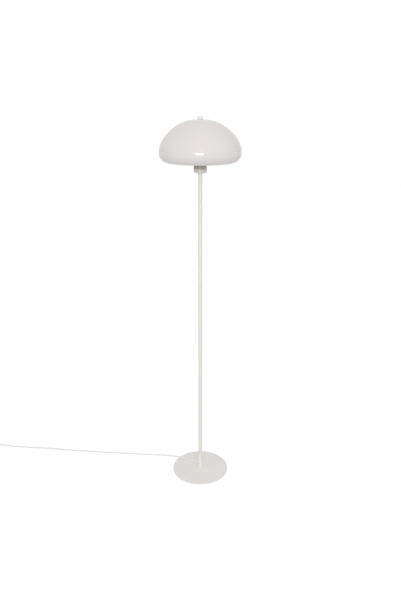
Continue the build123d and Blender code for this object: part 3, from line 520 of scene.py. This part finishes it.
def cells(tree, place, size):
    """Round cells of about that size, as in foam."""
    texture = tree.nodes.new("ShaderNodeTexVoronoi")
    texture.inputs["Scale"].default_value = 1 / size
    tree.links.new(place, texture.inputs["Vector"])
    return texture.outputs["Distance"]


tone_low, tone_high = 0.35, 0.65  # the stretch of a noise's values that the tone follows
gloss_drift, gloss_patch = 0.15, 0.4  # as shares of the roughness and of the tone's patch


def finish(name, colour, roughness, patch, drift=0.02, grain=0.5, relief=0.02,
           stretch=(1, 1, 1), grain_of=noise, **shader):
    """A finish. Patch, grain and relief are in millimetres; drift is how far the tone moves."""
    material = bpy.data.materials.new(name)
    material.use_nodes = True
    tree = material.node_tree
    surface = tree.nodes["Principled BSDF"]
    coordinates = tree.nodes.new("ShaderNodeTexCoord")
    mapping = tree.nodes.new("ShaderNodeMapping")
    mapping.inputs["Scale"].default_value = stretch
    tree.links.new(coordinates.outputs["Object"], mapping.inputs["Vector"])
    place = mapping.outputs["Vector"]

    tone = tree.nodes.new("ShaderNodeValToRGB")
    low_end, high_end = tone.color_ramp.elements
    for end, position, share in ((low_end, tone_low, 1 - drift), (high_end, tone_high, 1 + drift)):
        end.position = position
        end.color = (*[min(channel * share, 1) for channel in colour[:3]], 1)
    tree.links.new(noise(tree, place, patch * mm), tone.inputs["Fac"])
    tree.links.new(tone.outputs["Color"], surface.inputs["Base Color"])

    gloss = tree.nodes.new("ShaderNodeMapRange")
    gloss.inputs["To Min"].default_value = roughness * (1 - gloss_drift)
    gloss.inputs["To Max"].default_value = roughness * (1 + gloss_drift)
    tree.links.new(noise(tree, place, patch * gloss_patch * mm), gloss.inputs["Value"])
    tree.links.new(gloss.outputs["Result"], surface.inputs["Roughness"])

    bump = tree.nodes.new("ShaderNodeBump")
    bump.inputs["Distance"].default_value = relief * mm
    tree.links.new(grain_of(tree, place, grain * mm), bump.inputs["Height"])
    tree.links.new(bump.outputs["Normal"], surface.inputs["Normal"])
    for socket, value in shader.items():
        surface.inputs[socket.replace("_", " ")].default_value = value
    return material


print("a finish's gloss drifts by", gloss_drift, "of its roughness")

# %% [markdown]
# The lamp has three families of finish. The dome is opal acrylic, glossy, with the faint waves
# that blowing a sheet into a mould leaves. The disc, the tube and the cup are powder coated, which
# leaves a satin skin like orange peel. Everything else is moulded plastic, rubber or plain metal.

# %% Mix the finishes
finishes = {
    "shade_opal": finish(
        "opal_acrylic", srgb(239, 234, 233), 0.12, 120, 0.012, 30, 0.012, Specular_IOR_Level=0.2
    ),
    "lamp_paint": finish("powder_coat", srgb(246, 243, 239), 0.42, 60, 0.015, 0.7, 0.02),
    "dark_ring": finish("dark_thermoplastic", srgb(194, 188, 180), 0.5, 8, 0.045, 0.35, 0.02),
    "holder_plastic": finish(
        "white_thermoplastic", srgb(232, 230, 226), 0.45, 15, 0.02, 0.4, 0.015
    ),
    "zinc_steel": finish(
        "zinc_plate", srgb(186, 187, 189), 0.36, 9, 0.07, 0.3, 0.01, (1, 1, 0.15), Metallic=1.0
    ),
    "brass_contact": finish("brass", srgb(214, 178, 110), 0.3, 6, 0.06, 0.3, 0.01, Metallic=1.0),
    "nickel_cap": finish("nickel", srgb(206, 204, 198), 0.28, 6, 0.05, 0.3, 0.008, Metallic=1.0),
    "black_glass": finish("black_glass", srgb(24, 24, 27), 0.12, 5, 0.1, 1.5, 0.02),
    "bulb_diffuser": finish("bulb_opal", srgb(244, 242, 236), 0.32, 30, 0.01, 0.5, 0.006),
    "bulb_housing": finish("bulb_housing", srgb(240, 239, 236), 0.36, 20, 0.015, 0.4, 0.01),
    "silicone": finish("silicone", srgb(226, 226, 223), 0.55, 8, 0.03, 0.6, 0.02),
    "foot_pad": finish("foam", srgb(62, 62, 63), 0.85, 12, 0.12, 0.9, 0.25, grain_of=cells),
    "cord_white": finish("soft_sheath", srgb(246, 246, 245), 0.48, 30, 0.02, 0.6, 0.02),
    "switch_white": finish("switch_shell", srgb(234, 233, 231), 0.38, 20, 0.015, 0.25, 0.02),
    "button_white": finish("button_cap", srgb(238, 237, 235), 0.22, 20, 0.012, 3, 0.01),
    "sleeve_black": finish("black_sleeves", srgb(30, 30, 31), 0.4, 5, 0.1, 0.3, 0.01),
    "pin_brass": finish(
        "nickelled_pins", srgb(214, 206, 188), 0.24, 6, 0.05, 0.3, 0.008, Metallic=1.0
    ),
}
# A darker copy of the powder coat for the cup: painted shade, for the dome's shadow on the cup.
cup_coat_with_painted_shade = finish("cup_coat_painted_shade", srgb(239, 235, 230), 0.36, 30, 0.015, 0.5, 0.015)
print(len(finishes) + 1, "finishes")

# %% [markdown]
# The record names a slot for every CAD node, and every new piece was given one when it was made,
# so one loop can dress the whole lamp. The cup alone gets a darker and smoother copy of the powder
# coat; its darker tone is painted shade, for the shadow that the dome casts on it.

# %% Dress every piece
slot_of = {part["node"]: part["material_slot"] for part in frame["record"]["subparts"]}
for name, node in frame["nodes"].items():
    node_finish = cup_coat_with_painted_shade if name == "holder_cup" else finishes[slot_of[name]]
    node.material_slots[0].material = node_finish
new_pieces = [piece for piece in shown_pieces() if piece.name not in frame["nodes"]]
for piece in new_pieces:
    piece.data.materials.append(finishes[piece["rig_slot"]])
print("dressed", len(frame["nodes"]), "CAD nodes and", len(new_pieces), "new pieces")

# %% [markdown]
# ## Floor, world and lights
# The photograph has no visible floor: everything round the lamp is white. If lamps made it white
# they would wash out the white lamp too. So the light stays plain, and the floor and the world
# ask Light Path what kind of ray they meet: for the camera, and in reflections, they are white,
# and for the light that falls on the lamp they are a pale grey studio. A small share of the
# floor stays a lit surface, so that it keeps the lamp's soft shadow. Seen from underneath, the
# floor is clear, so that the dome can be looked into from below.


# %% Helpers that find the rays which are looked along
def looked_at(tree):
    """1 for camera, glossy and transmission rays, and 0 for the rays that carry light."""
    path = tree.nodes.new("ShaderNodeLightPath")
    seen = path.outputs["Is Camera Ray"]
    for ray in ("Is Glossy Ray", "Is Transmission Ray"):
        larger = tree.nodes.new("ShaderNodeMath")
        larger.operation = "MAXIMUM"
        tree.links.new(seen, larger.inputs[0])
        tree.links.new(path.outputs[ray], larger.inputs[1])
        seen = larger.outputs[0]
    return seen


def scaled(tree, value, low, high):
    """A value from 0 to 1 brought to the range from low to high."""
    scale = tree.nodes.new("ShaderNodeMapRange")
    scale.inputs["To Min"].default_value = low
    scale.inputs["To Max"].default_value = high
    tree.links.new(value, scale.inputs["Value"])
    return scale.outputs["Result"]


print("camera, glossy and transmission rays are looked along")

# %% The floor
floor_size = 9.0
floor_drop = 0.2 * mm
shadow_share = 0.2
floor_white = 1.15
floor_grey = srgb(216, 216, 216)

floor_material = bpy.data.materials.new("studio_floor")
floor_material.use_nodes = True
tree = floor_material.node_tree
tree.nodes.clear()
lit = tree.nodes.new("ShaderNodeBsdfDiffuse")
lit.inputs["Color"].default_value = floor_grey
white = tree.nodes.new("ShaderNodeEmission")
white.inputs["Strength"].default_value = floor_white
blend = tree.nodes.new("ShaderNodeMixShader")
output = tree.nodes.new("ShaderNodeOutputMaterial")
tree.links.new(scaled(tree, looked_at(tree), 0, 1 - shadow_share), blend.inputs["Fac"])
tree.links.new(lit.outputs["BSDF"], blend.inputs[1])
tree.links.new(white.outputs["Emission"], blend.inputs[2])
clear = tree.nodes.new("ShaderNodeBsdfTransparent")
side = tree.nodes.new("ShaderNodeNewGeometry")
from_below = tree.nodes.new("ShaderNodeMixShader")
tree.links.new(side.outputs["Backfacing"], from_below.inputs["Fac"])
tree.links.new(blend.outputs["Shader"], from_below.inputs[1])
tree.links.new(clear.outputs["BSDF"], from_below.inputs[2])
tree.links.new(from_below.outputs["Shader"], output.inputs["Surface"])

floor_builder = bmesh.new()
bmesh.ops.create_grid(floor_builder, x_segments=1, y_segments=1, size=floor_size)
bmesh.ops.translate(floor_builder, vec=(0, 0, -floor_drop), verts=floor_builder.verts)
floor_mesh = bpy.data.meshes.new("floor")
floor_builder.to_mesh(floor_mesh)
floor_builder.free()
floor_mesh.materials.append(floor_material)
floor = bpy.data.objects.new("floor", floor_mesh)
bpy.context.scene.collection.objects.link(floor)
print("floor", 2 * floor_size, "m square")

# %% The world
room_light = 0.66
world = bpy.data.worlds.new("studio")
bpy.context.scene.world = world
world.use_nodes = True
sky = world.node_tree.nodes["Background"]
sky.inputs["Color"].default_value = (1, 1, 1, 1)
strength = scaled(world.node_tree, looked_at(world.node_tree), room_light, 1)
world.node_tree.links.new(strength, sky.inputs["Strength"])
print("room light", room_light)


# %% [markdown]
# Two soft lamps stand behind the camera. A wide one lights the front of the dome and the pole a
# little more than their sides, as the photograph shows. Its own mirror image on the glossy dome
# would be a broad pale patch that the photograph doesn't have, so reflections leave it out. A
# small, strong one is seen in reflections alone, and makes the short bright streak on the belly.
# A ray from the camera that is mirrored where the streak is meets it 80 mm left of the middle.

# %% The lamps
def soft_lamp(name, place, target, width, height, power):
    """An oval soft lamp at a place, turned to a target."""
    data = bpy.data.lights.new(name, "AREA")
    data.shape = "ELLIPSE"
    data.size = width
    data.size_y = height
    data.energy = power
    lamp = bpy.data.objects.new(name, data)
    lamp.location = place
    lamp.rotation_euler = (Vector(target) - Vector(place)).to_track_quat("-Z", "Y").to_euler()
    bpy.context.scene.collection.objects.link(lamp)
    return lamp


mid_pole, dome_belly = (0, 0, 0.9), (0, 0, 1.378)
softbox = soft_lamp("front_softbox", (0, -4.2, 2.3), mid_pole, 3.0, 2.2, 56)
softbox.visible_glossy = False
streak_lamp = soft_lamp("streak_lamp", (-0.08, -2.6, 1.61), dome_belly, 1.0, 0.1, 30)
streak_lamp.visible_diffuse = False
bpy.context.scene.view_settings.view_transform = "Standard"
print("lamps placed")
